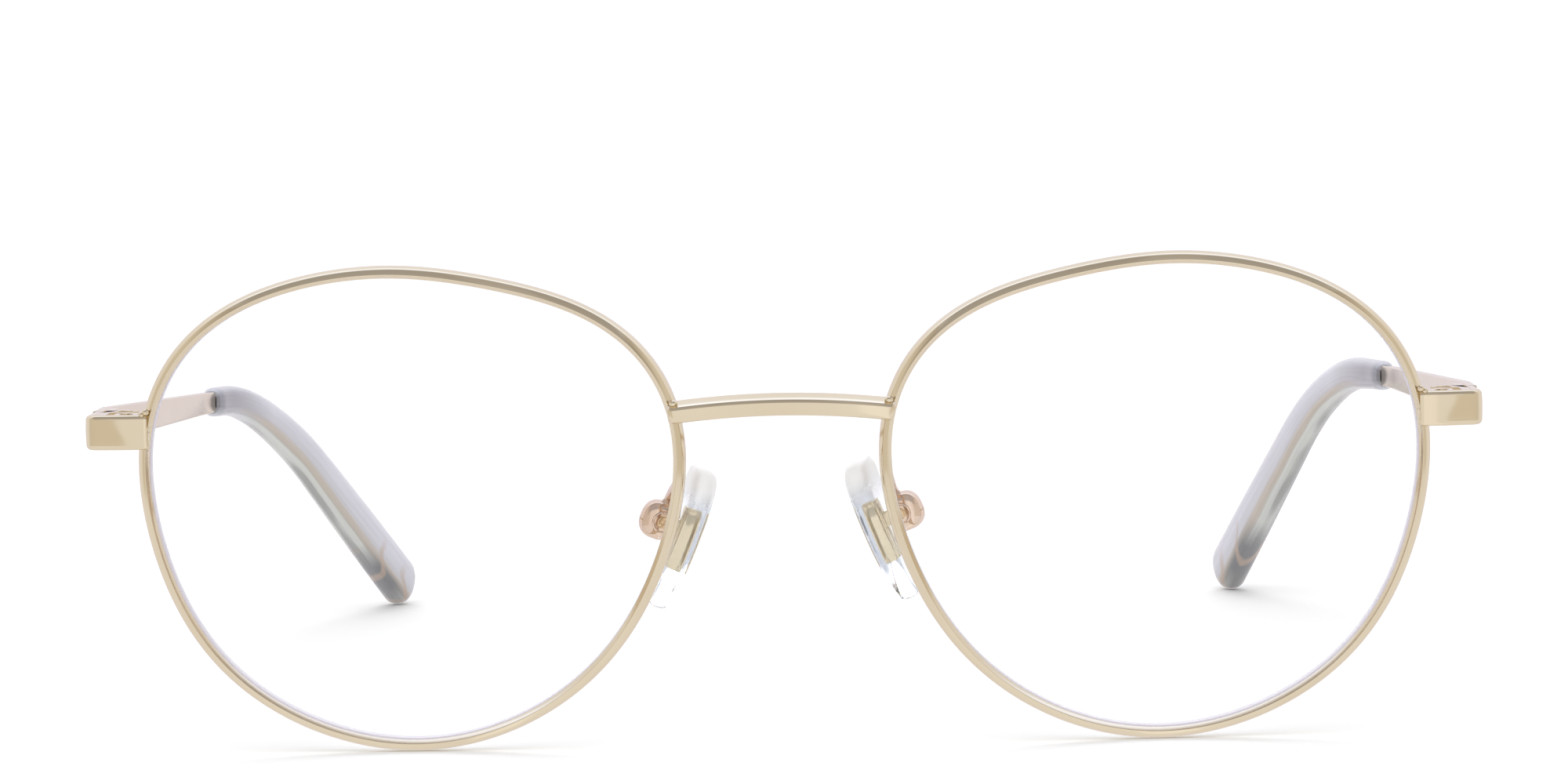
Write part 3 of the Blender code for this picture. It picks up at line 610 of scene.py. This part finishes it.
def collar_shape(seat, axis):
    """Raised ring with a dished inside around the pad screw's head."""
    profile = [(0.62, -0.5), (1.12, -0.5), (1.12, -0.08), (1.08, 0.02), (0.99, 0.06), (0.90, 0.02),
               (0.80, -0.14), (0.72, -0.2), (0.62, -0.2)]
    return turned_about(seat, axis, profile)[0]


# ------------------------------------------------------------------ materials
def node_material(name):
    material = bpy.data.materials.new(name)
    material.use_nodes = True
    tree = material.node_tree
    return material, tree, tree.nodes["Principled BSDF"]


def add_node(tree, kind, **settings):
    """Adds a node; a setting named after an input fills that input, any other sets the node's property."""
    node = tree.nodes.new(kind)
    sockets = {socket.name.lower(): socket for socket in node.inputs}
    for key, value in settings.items():
        socket = sockets.get(key.replace("_", " "))
        if socket:
            socket.default_value = value
        else:
            setattr(node, key, value)
    return node


def noise(tree, scale, detail=3.0, stretch=(1, 1, 1), vector=None):
    """Noise value in object space, stretched along chosen axes."""
    if vector is None:
        vector = add_node(tree, "ShaderNodeTexCoord").outputs["Object"]
    mapping = add_node(tree, "ShaderNodeMapping", scale=stretch)
    texture = add_node(tree, "ShaderNodeTexNoise", scale=scale, detail=detail)
    tree.links.new(vector, mapping.inputs["Vector"])
    tree.links.new(mapping.outputs["Vector"], texture.inputs["Vector"])
    return texture.outputs["Fac"]


def ramp(tree, value, stops):
    """Colour ramp through (position, colour) stops."""
    node = tree.nodes.new("ShaderNodeValToRGB")
    elements = node.color_ramp.elements
    while len(elements) < len(stops):
        elements.new(0.5)
    for element, (position, colour) in zip(elements, stops):
        element.position = position
        element.color = (*colour, 1.0)
    tree.links.new(value, node.inputs["Fac"])
    return node.outputs["Color"]


def grey_ramp(tree, value, stops):
    return ramp(tree, value, [(position, (level, level, level)) for position, level in stops])


def mapped(tree, value, low, high, span=(0.0, 1.0)):
    """Maps the span onto low..high."""
    node = tree.nodes.new("ShaderNodeMapRange")
    node.inputs["From Min"].default_value = span[0]
    node.inputs["From Max"].default_value = span[1]
    node.inputs["To Min"].default_value = low
    node.inputs["To Max"].default_value = high
    tree.links.new(value, node.inputs["Value"])
    return node.outputs["Result"]


def maths(tree, operation, *values):
    """Math node; each value is a number or another node's output."""
    node = add_node(tree, "ShaderNodeMath", operation=operation)
    for socket, value in zip(node.inputs, values):
        if isinstance(value, (int, float)):
            socket.default_value = value
        else:
            tree.links.new(value, socket)
    return node.outputs["Value"]


def times(tree, first, second):
    return maths(tree, "MULTIPLY", first, second)


def plus(tree, first, second):
    return maths(tree, "ADD", first, second)


def mixed(tree, factor, first, second):
    """Colour mix; factor is an output, the colours are outputs or RGB triples."""
    node = add_node(tree, "ShaderNodeMix", data_type="RGBA")
    tree.links.new(factor, node.inputs["Factor"])
    for label, colour in (("A", first), ("B", second)):
        socket = [s for s in node.inputs if s.name == label and s.type == "RGBA"][0]
        if isinstance(colour, tuple):
            socket.default_value = (*colour, 1.0)
        else:
            tree.links.new(colour, socket)
    return [s for s in node.outputs if s.type == "RGBA"][0]


def point_value(tree, label):
    return add_node(tree, "ShaderNodeAttribute", attribute_name=label).outputs["Fac"]


def add_bump(tree, shader, height, strength, distance):
    bump = add_node(tree, "ShaderNodeBump", strength=strength, distance=distance)
    tree.links.new(height, bump.inputs["Height"])
    tree.links.new(bump.outputs["Normal"], shader.inputs["Normal"])


def metal(name, light, dark, roughness, scratch_scale):
    """Plated metal: slow colour drift, polishing haze in the roughness and hair-fine scratches."""
    material, tree, shader = node_material(name)
    shader.inputs["Metallic"].default_value = 1.0
    drift = ramp(tree, noise(tree, 90.0, 2.0), [(0.35, dark), (0.65, light)])
    tree.links.new(drift, shader.inputs["Base Color"])
    haze = mapped(tree, noise(tree, 700.0, 4.0), roughness * 0.75, roughness * 1.3)
    tree.links.new(haze, shader.inputs["Roughness"])
    add_bump(tree, shader, noise(tree, scratch_scale, 4.0, (1.0, 0.15, 1.0)), 0.02, 0.00001)
    return material


# Horn colours from the lower edge (0) to the upper edge (1): charcoal, painted shade on the underside, pale
# grey, tan and lavender, lightening to a painted highlight on the top; and the greys of the collar, darker in
# its middle as painted shade and lighter at its top as a painted highlight.
HORN_BANDS_WITH_PAINTED_LIGHT = [(0.0, (0.27, 0.27, 0.26)), (0.012, (0.30, 0.30, 0.29)), (0.03, (0.52, 0.53, 0.50)),
              (0.09, (0.60, 0.61, 0.58)), (0.13, (0.46, 0.42, 0.37)), (0.19, (0.50, 0.43, 0.36)),
              (0.28, (0.54, 0.48, 0.43)), (0.34, (0.56, 0.55, 0.59)), (0.55, (0.66, 0.66, 0.73)),
              (1.0, (0.80, 0.80, 0.87))]
COLLAR_GREYS_WITH_PAINTED_LIGHT = [(0.0, (0.46, 0.47, 0.52)), (0.24, (0.33, 0.33, 0.38)), (0.36, (0.24, 0.24, 0.28)),
               (0.72, (0.25, 0.25, 0.30)), (1.0, (0.50, 0.51, 0.58))]


def acetate(name, phase, outer_tone):
    """Horn-patterned acetate: grey at the collar, with painted shade in its middle and a painted highlight at
    its top, then lavender, tan and charcoal bands that drift along the tip, painted dark at the lower edge as
    shade and light towards the upper edge as a painted highlight, and painted shade on the underside near the
    end, crossed by fine brown streaks. Phase and outer tone tell the two tips apart; the outer tone colours
    each tip's outer side."""
    material, tree, shader = node_material(name)
    along, upwards = point_value(tree, "along"), point_value(tree, "upwards")
    inwards = point_value(tree, "inwards")
    combine = tree.nodes.new("ShaderNodeCombineXYZ")
    for value, channel in ((plus(tree, along, phase), "X"), (inwards, "Y"), (upwards, "Z")):
        tree.links.new(value, combine.inputs[channel])
    vector = combine.outputs["Vector"]
    wander = maths(tree, "SUBTRACT", noise(tree, 2.0, 1.5, (2.2, 0.35, 0.35), vector), 0.5)
    height = mapped(tree, upwards, 0.0, 1.0, (-1.0, 1.0))
    level = plus(tree, plus(tree, height, times(tree, wander, 0.14)), 0.012)
    # Painted light: the bands run from charcoal at the lower edge (painted shade) to lavender-white at the top
    # (painted highlight).
    bands_with_painted_light = ramp(tree, level, HORN_BANDS_WITH_PAINTED_LIGHT)
    outer = mapped(tree, inwards, 1.0, 0.0, (-0.60, -0.10))
    bands_with_painted_light = mixed(tree, outer, bands_with_painted_light, outer_tone)
    # Painted light on the collar: darkest grey in its middle as painted shade, lighter at its top as a painted
    # highlight.
    collar = ramp(tree, height, COLLAR_GREYS_WITH_PAINTED_LIGHT)
    body = mixed(tree, mapped(tree, along, 1.0, 0.0, (0.10, 0.34)), bands_with_painted_light, collar)
    # Painted shade: the underside near the end of the tip is darkened to near black.
    low = mapped(tree, plus(tree, upwards, times(tree, wander, 0.9)), 1.0, 0.0, (-0.80, -0.40))
    end_shade_start = mapped(tree, along, 0.0, 1.0, (0.80, 0.88))
    end_shade_stop = mapped(tree, along, 1.0, 0.3, (0.95, 1.02))
    end_shade = times(tree, end_shade_start, end_shade_stop)
    body = mixed(tree, times(tree, end_shade, low), body, (0.16, 0.16, 0.165))
    lines = plus(tree, times(tree, along, 60.0), times(tree, upwards, 2.2))
    lines = maths(tree, "SINE", plus(tree, lines, times(tree, wander, 9.0)))
    streak = mapped(tree, lines, 0.0, 0.6, (0.70, 0.98))
    streak = times(tree, streak, mapped(tree, along, 0.0, 1.0, (0.80, 0.86)))
    streak = times(tree, streak, mapped(tree, upwards, 1.0, 0.0, (-0.25, 0.25)))
    body = mixed(tree, streak, body, (0.50, 0.36, 0.26))
    fine = grey_ramp(tree, noise(tree, 7.0, 3.0, (0.6, 1.0, 1.0), vector), [(0.35, 0.90), (0.65, 1.0)])
    blend = add_node(tree, "ShaderNodeVectorMath", operation="MULTIPLY")
    tree.links.new(body, blend.inputs[0])
    tree.links.new(fine, blend.inputs[1])
    tree.links.new(blend.outputs["Vector"], shader.inputs["Base Color"])
    shader.inputs["Coat Weight"].default_value = 0.5
    shader.inputs["Coat Roughness"].default_value = 0.08
    haze = mapped(tree, noise(tree, 500.0, 3.0), 0.16, 0.28)
    tree.links.new(haze, shader.inputs["Roughness"])
    add_bump(tree, shader, noise(tree, 260.0, 2.0), 0.04, 0.00005)
    return material


def clear_lens():
    """Clear demo lens: invisible straight on, hardly mirroring at a glancing view, with a frosted edge."""
    material, tree, shader = node_material("demo_lens")
    output = tree.nodes["Material Output"]
    facing = add_node(tree, "ShaderNodeLayerWeight", blend=0.5).outputs["Facing"]
    tint = ramp(tree, facing, [(0.0, (0.998, 0.999, 1.0)), (0.6, (0.99, 0.99, 0.997)),
                               (1.0, (0.965, 0.96, 0.98))])
    through = tree.nodes.new("ShaderNodeBsdfTransparent")
    tree.links.new(tint, through.inputs["Color"])
    shine = add_node(tree, "ShaderNodeBsdfGlossy", color=(0.93, 0.92, 0.97, 1.0))
    smudge = mapped(tree, noise(tree, 120.0, 3.0), 0.01, 0.05)
    tree.links.new(smudge, shine.inputs["Roughness"])
    fresnel = add_node(tree, "ShaderNodeFresnel", ior=1.5).outputs["Fac"]
    smears = mapped(tree, noise(tree, 60.0, 2.0), 0.28, 0.36)
    share = times(tree, maths(tree, "MINIMUM", fresnel, 0.35), smears)
    surface = tree.nodes.new("ShaderNodeMixShader")
    tree.links.new(share, surface.inputs["Fac"])
    tree.links.new(through.outputs["BSDF"], surface.inputs[1])
    tree.links.new(shine.outputs["BSDF"], surface.inputs[2])
    shader.inputs["Base Color"].default_value = (0.80, 0.77, 0.85, 1.0)
    shader.inputs["Roughness"].default_value = 0.5
    grain = mapped(tree, noise(tree, 400.0, 2.0), 0.85, 0.95)
    edge = times(tree, point_value(tree, "ground_edge"), grain)
    seen = tree.nodes.new("ShaderNodeLightPath").outputs["Is Camera Ray"]
    edge = times(tree, edge, seen)
    final = tree.nodes.new("ShaderNodeMixShader")
    tree.links.new(edge, final.inputs["Fac"])
    tree.links.new(surface.outputs["Shader"], final.inputs[1])
    tree.links.new(shader.outputs["BSDF"], final.inputs[2])
    tree.links.new(final.outputs["Shader"], output.inputs["Surface"])
    return material


def silicone():
    """Soft silicone, clear below and frosted milky white towards the top of the pad."""
    material, tree, shader = node_material("clear_silicone")
    up_pad = point_value(tree, "up_pad")
    cloud = times(tree, maths(tree, "SUBTRACT", noise(tree, 300.0, 2.0), 0.5), 0.3)
    milky = mapped(tree, plus(tree, up_pad, cloud), 0.0, 1.0, (0.36, 0.80))
    tree.links.new(mixed(tree, milky, (0.80, 0.82, 0.865), (0.95, 0.94, 0.925)), shader.inputs["Base Color"])
    tree.links.new(mapped(tree, milky, 0.96, 0.40), shader.inputs["Transmission Weight"])
    shader.inputs["IOR"].default_value = 1.22
    smudge = mapped(tree, noise(tree, 300.0, 3.0), 0.0, 0.04)
    roughness = plus(tree, mapped(tree, milky, 0.06, 0.40), smudge)
    tree.links.new(roughness, shader.inputs["Roughness"])
    add_bump(tree, shader, noise(tree, 400.0, 2.0), 0.03, 0.00004)
    return material


# ------------------------------------------------------------------ stage
WHITE = (1.0, 1.0, 1.0)
TENT_WALL = (0.86, 0.80, 0.85)
TENT_STRIP = (1.40, 1.55, 1.95)
# The tent by angle in degrees: 0 is the camera side, 90 the zenith, 180 the back and -90 the table.
TENT_STOPS = [(-180, TENT_WALL), (-90, WHITE), (14, WHITE), (24, (0.52, 0.51, 0.51)),
              (86, (0.46, 0.45, 0.45)), (93, (1.02, 1.07, 1.20)), (97, TENT_STRIP), (103, TENT_STRIP),
              (107, (1.08, 1.13, 1.26)), (145, (1.02, 1.02, 1.10)), (180, TENT_WALL)]
# Name, strength, width and backward lean in degrees of each wide soft lamp.
SOFTBOXES = (("overhead_softbox", 1.15, 70, 30), ("back_softbox", 2.5, 52, -62))
FOCAL_LENGTH = 129.6
SENSOR_WIDTH = 36.0
CAMERA_PLACE = Vector((11.7, -539.6, 71.3)) * MM + Vector((0, FRONT_Y, 0))
CAMERA_FORWARD = Vector((-0.02106, 0.99746, -0.06804)).normalized()
CAMERA_UP = Vector((0.01885, 0.06844, 0.99748))


def add_floor():
    """Large matt white table."""
    half = 15.0
    data = bpy.data.meshes.new("table")
    corners = [(-half, -half, 0), (half, -half, 0), (half, half, 0), (-half, half, 0)]
    data.from_pydata(corners, [], [(0, 1, 2, 3)])
    floor = bpy.data.objects.new("table", data)
    bpy.context.scene.collection.objects.link(floor)
    material, tree, shader = node_material("table_white")
    tone = grey_ramp(tree, noise(tree, 3.0, 2.0), [(0.3, 0.925), (0.7, 0.94)])
    tree.links.new(tone, shader.inputs["Base Color"])
    shader.inputs["Roughness"].default_value = 0.95
    shader.inputs["Specular IOR Level"].default_value = 0.0
    data.materials.append(material)
    floor.visible_glossy = False


def tent_colour(tree):
    """What polished metal mirrors: the tent, its darker lower sides and one brighter window."""
    direction = add_node(tree, "ShaderNodeTexCoord").outputs["Generated"]
    split = tree.nodes.new("ShaderNodeSeparateXYZ")
    tree.links.new(direction, split.inputs["Vector"])
    forward = times(tree, split.outputs["Y"], -1.0)
    over = maths(tree, "ARCTAN2", split.outputs["Z"], forward)
    tent = ramp(tree, plus(tree, maths(tree, "DIVIDE", over, 2 * math.pi), 0.5),
                [(angle / 360 + 0.5, colour) for angle, colour in TENT_STOPS])
    reach = maths(tree, "ABSOLUTE", split.outputs["X"])
    tent = mixed(tree, mapped(tree, reach, 0.0, 1.0, (0.6, 0.85)), tent, (0.98, 0.98, 1.0))
    in_front = mapped(tree, forward, 0.0, 1.0, (-0.05, 0.05))
    above_table = mapped(tree, split.outputs["Z"], 0.0, 1.0, (-0.21, -0.18))
    limit = plus(tree, times(tree, split.outputs["Z"], 0.41), 0.386)
    beside = mapped(tree, maths(tree, "SUBTRACT", reach, limit), 0.0, 1.0, (0.0, 0.02))
    beside = times(tree, times(tree, beside, in_front), above_table)
    off_window = maths(tree, "ABSOLUTE", maths(tree, "SUBTRACT", split.outputs["X"], 0.14))
    window = mapped(tree, off_window, 1.0, 0.0, (0.09, 0.105))
    window = times(tree, window, in_front)
    shaded = add_node(tree, "ShaderNodeVectorMath", operation="MULTIPLY")
    tree.links.new(tent, shaded.inputs[0])
    tree.links.new(mixed(tree, beside, WHITE, (0.83, 0.78, 0.69)), shaded.inputs[1])
    lifted = add_node(tree, "ShaderNodeVectorMath", operation="SCALE")
    tree.links.new(shaded.outputs["Vector"], lifted.inputs[0])
    tree.links.new(mapped(tree, window, 1.0, 1.13), lifted.inputs["Scale"])
    return lifted.outputs["Vector"]


def add_studio_light():
    """White light tent: soft fill, white background, two soft lamps and panels for the metal to mirror."""
    world = bpy.data.worlds.new("studio")
    world.use_nodes = True
    tree = world.node_tree
    background = tree.nodes["Background"]
    rays = tree.nodes.new("ShaderNodeLightPath")
    direction = add_node(tree, "ShaderNodeTexCoord").outputs["Generated"]
    split = tree.nodes.new("ShaderNodeSeparateXYZ")
    tree.links.new(direction, split.inputs["Vector"])
    towards_camera = mapped(tree, split.outputs["Y"], 1.0, 0.0, (-1.0, 1.0))
    fill = mixed(tree, towards_camera, (0.05, 0.05, 0.052), (0.92, 0.92, 0.925))
    seen = mixed(tree, rays.outputs["Is Glossy Ray"], fill, tent_colour(tree))
    inside = maths(tree, "GREATER_THAN", rays.outputs["Transmission Depth"], 0.5)
    seen = mixed(tree, inside, seen, (0.84, 0.86, 0.90))
    seen = mixed(tree, rays.outputs["Is Camera Ray"], seen, (1.3, 1.3, 1.3))
    tree.links.new(seen, background.inputs["Color"])
    bpy.context.scene.world = world
    for name, energy, angle, lean in SOFTBOXES:
        data = bpy.data.lights.new(name, "SUN")
        data.energy = energy
        data.angle = math.radians(angle)
        softbox = bpy.data.objects.new(name, data)
        softbox.rotation_euler = (math.radians(lean), math.radians(-5), 0)
        softbox.visible_glossy = False
        bpy.context.scene.collection.objects.link(softbox)
    bpy.context.scene.view_settings.view_transform = "Standard"


def add_camera():
    """Long lens a little above the glasses and to the wearer's left of their middle."""
    data = bpy.data.cameras.new("camera")
    data.lens = FOCAL_LENGTH
    data.sensor_width = SENSOR_WIDTH
    data.clip_start = 0.05
    camera = bpy.data.objects.new("camera", data)
    bpy.context.scene.collection.objects.link(camera)
    right = CAMERA_FORWARD.cross(CAMERA_UP).normalized()
    up = right.cross(CAMERA_FORWARD)
    camera.matrix_world = Matrix((right, up, -CAMERA_FORWARD)).transposed().to_4x4()
    camera.location = CAMERA_PLACE
    bpy.context.scene.camera = camera


# ------------------------------------------------------------------ assembly
gold = metal("champagne_gold", (0.745, 0.645, 0.485), (0.715, 0.612, 0.452), 0.10, 2500.0)
rose_gold = metal("rose_gold", (0.76, 0.60, 0.48), (0.71, 0.54, 0.42), 0.06, 2500.0)
plate_gold = metal("plate_gold", (0.70, 0.60, 0.42), (0.65, 0.55, 0.37), 0.10, 3000.0)
screw_gold = metal("screw_gold", (0.74, 0.55, 0.34), (0.66, 0.47, 0.28), 0.16, 3500.0)
horn = {"right": acetate("horn_acetate_right", 0.0, (0.60, 0.59, 0.58)),
        "left": acetate("horn_acetate_left", 3.7, (0.24, 0.235, 0.26))}
lens_clear = clear_lens()
pad_clear = silicone()
UP = Vector((0, 0, 1))
# Millimetres: x, then y behind the endpiece's front and z over its top edge, then the radius.
SOLDER_BEADS = ((61.85, 0.15, 0.02, 0.30), (61.45, 0.05, 0.26, 0.34))


def add_front(side_name, side):
    """Rim, lens, endpiece with its solder beads, and the two screws of one side."""
    def name(part):
        return f"{side_name}_{part}"

    add_piece(name("rim_polished"), rim_shape(), gold, "front", [name("rim")], side, 32.0)
    shape, values = lens_shape()
    add_piece(name("lens_clear"), shape, lens_clear, "front", [name("lens")], side,
              values=values)
    add_piece(name("endpiece_polished"), endpiece_shape(), gold, "front", [name("endpiece")],
              side, 50.0)
    for index, (x, y, z, size) in enumerate(SOLDER_BEADS):
        bead = Vector((x * MM, ENDPIECE_FRONT_Y + y * MM, TOP_Z + z * MM))
        shape = bead_shape(bead, (size * MM, size * MM * 1.3, size * MM))
        add_piece(name(f"endpiece_solder_{index + 1}"), shape, gold, "front", (), side)
    seat = Vector((HINGE.x, HINGE.y, TOP_Z))
    add_piece(name("hinge_screw_turned"), screw_shape(seat, UP, 0.6, 0.85, 0.07, STRIP_HEIGHT / MM),
              gold, "front", [name("hinge_screw")], side)
    low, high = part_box("left_closing_screw")
    seat = Vector(((low.x + high.x) / 2, (low.y + high.y) / 2, TOP_Z))
    add_piece(name("closing_screw_turned"), screw_shape(seat, UP, 0.5, 0.70, 0.07, 3.3),
              gold, "front", [name("closing_screw")], side)


def add_pad(side_name, side):
    """Nose pad with its insert, pad box, arm, collar and screw on one side."""
    def name(part):
        return f"{side_name}_{part}"

    axes = pad_axes(side_name)
    body = name("pad")
    shape, values = pad_shape(axes)
    add_piece(name("nose_pad_silicone"), shape, pad_clear, body, [name("nose_pad")], side,
              values=values)
    add_piece(name("pad_insert_plate"), insert_shape(axes), plate_gold, body, [name("pad_insert")],
              side)
    add_piece(name("pad_insert_lug"), lug_shape(axes), plate_gold, body, (), side)
    add_piece(name("pad_box_cast"), box_shape(axes), rose_gold, "front", [name("pad_box")],
              side)
    add_piece(name("pad_arm_strap"), arm_shape(axes), rose_gold, "front", [name("pad_arm")],
              side)
    facing_front = -(axes.to_3x3() @ Vector((0, 1, 0))).normalized()
    seat = PAD_PIVOT + PAD_NUDGE[side_name] + facing_front * BOX_HALF_WIDTH
    add_piece(name("pad_screw_collar"), collar_shape(seat, facing_front), rose_gold, "front", (),
              side)
    add_piece(name("pad_screw_turned"), screw_shape(seat, facing_front, 0.45, 0.58, 0.12, 2.6),
              screw_gold, "front", [name("pad_screw")], side)


def add_temple(side_name, side):
    """Temple strip and acetate tip of one side."""
    body = f"{side_name}_temple"
    bends = BENDS[side_name]
    add_piece(body + "_strip", temple_shape(bends), gold, body, [body], side)
    shape, values = tip_shape(bends)
    add_piece(body + "_tip_acetate", shape, horn[side_name], body, [body + "_tip"], side,
              60.0, values)


def add_bridge():
    """Bridge bar and the small solder knob at each of its ends."""
    low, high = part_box("bridge")
    add_piece("bridge_bar", bridge_shape(), gold, "front", ["bridge"], 1, 50.0)
    for side_name, side in SIDES.items():
        knob = Vector((10.35 * MM, (low.y + high.y) / 2 - 0.15 * MM, high.z - 0.75 * MM))
        shape = bead_shape(knob, (0.42 * MM, 0.5 * MM, 0.36 * MM))
        add_piece(f"{side_name}_bridge_solder", shape, gold, "front", (), side)


def dress_cad_node(node, material):
    """Keeps a CAD piece as it is, with softened edges and its finish."""
    piece = frame["nodes"][node]
    piece.data.materials.clear()
    piece.data.materials.append(material)
    soften = piece.modifiers.new("soft_edges", "BEVEL")
    soften.width = 0.06 * MM
    soften.segments = 2
    soften.limit_method = "ANGLE"
    soften.angle_limit = math.radians(50)
    soften.harden_normals = False


add_bridge()
for side_name, side in SIDES.items():
    add_front(side_name, side)
    add_pad(side_name, side)
    add_temple(side_name, side)
    for part in ("closing_block_upper", "closing_block_lower", "front_hinge", "temple_hinge"):
        dress_cad_node(f"{side_name}_{part}", gold)

add_floor()
add_studio_light()
add_camera()
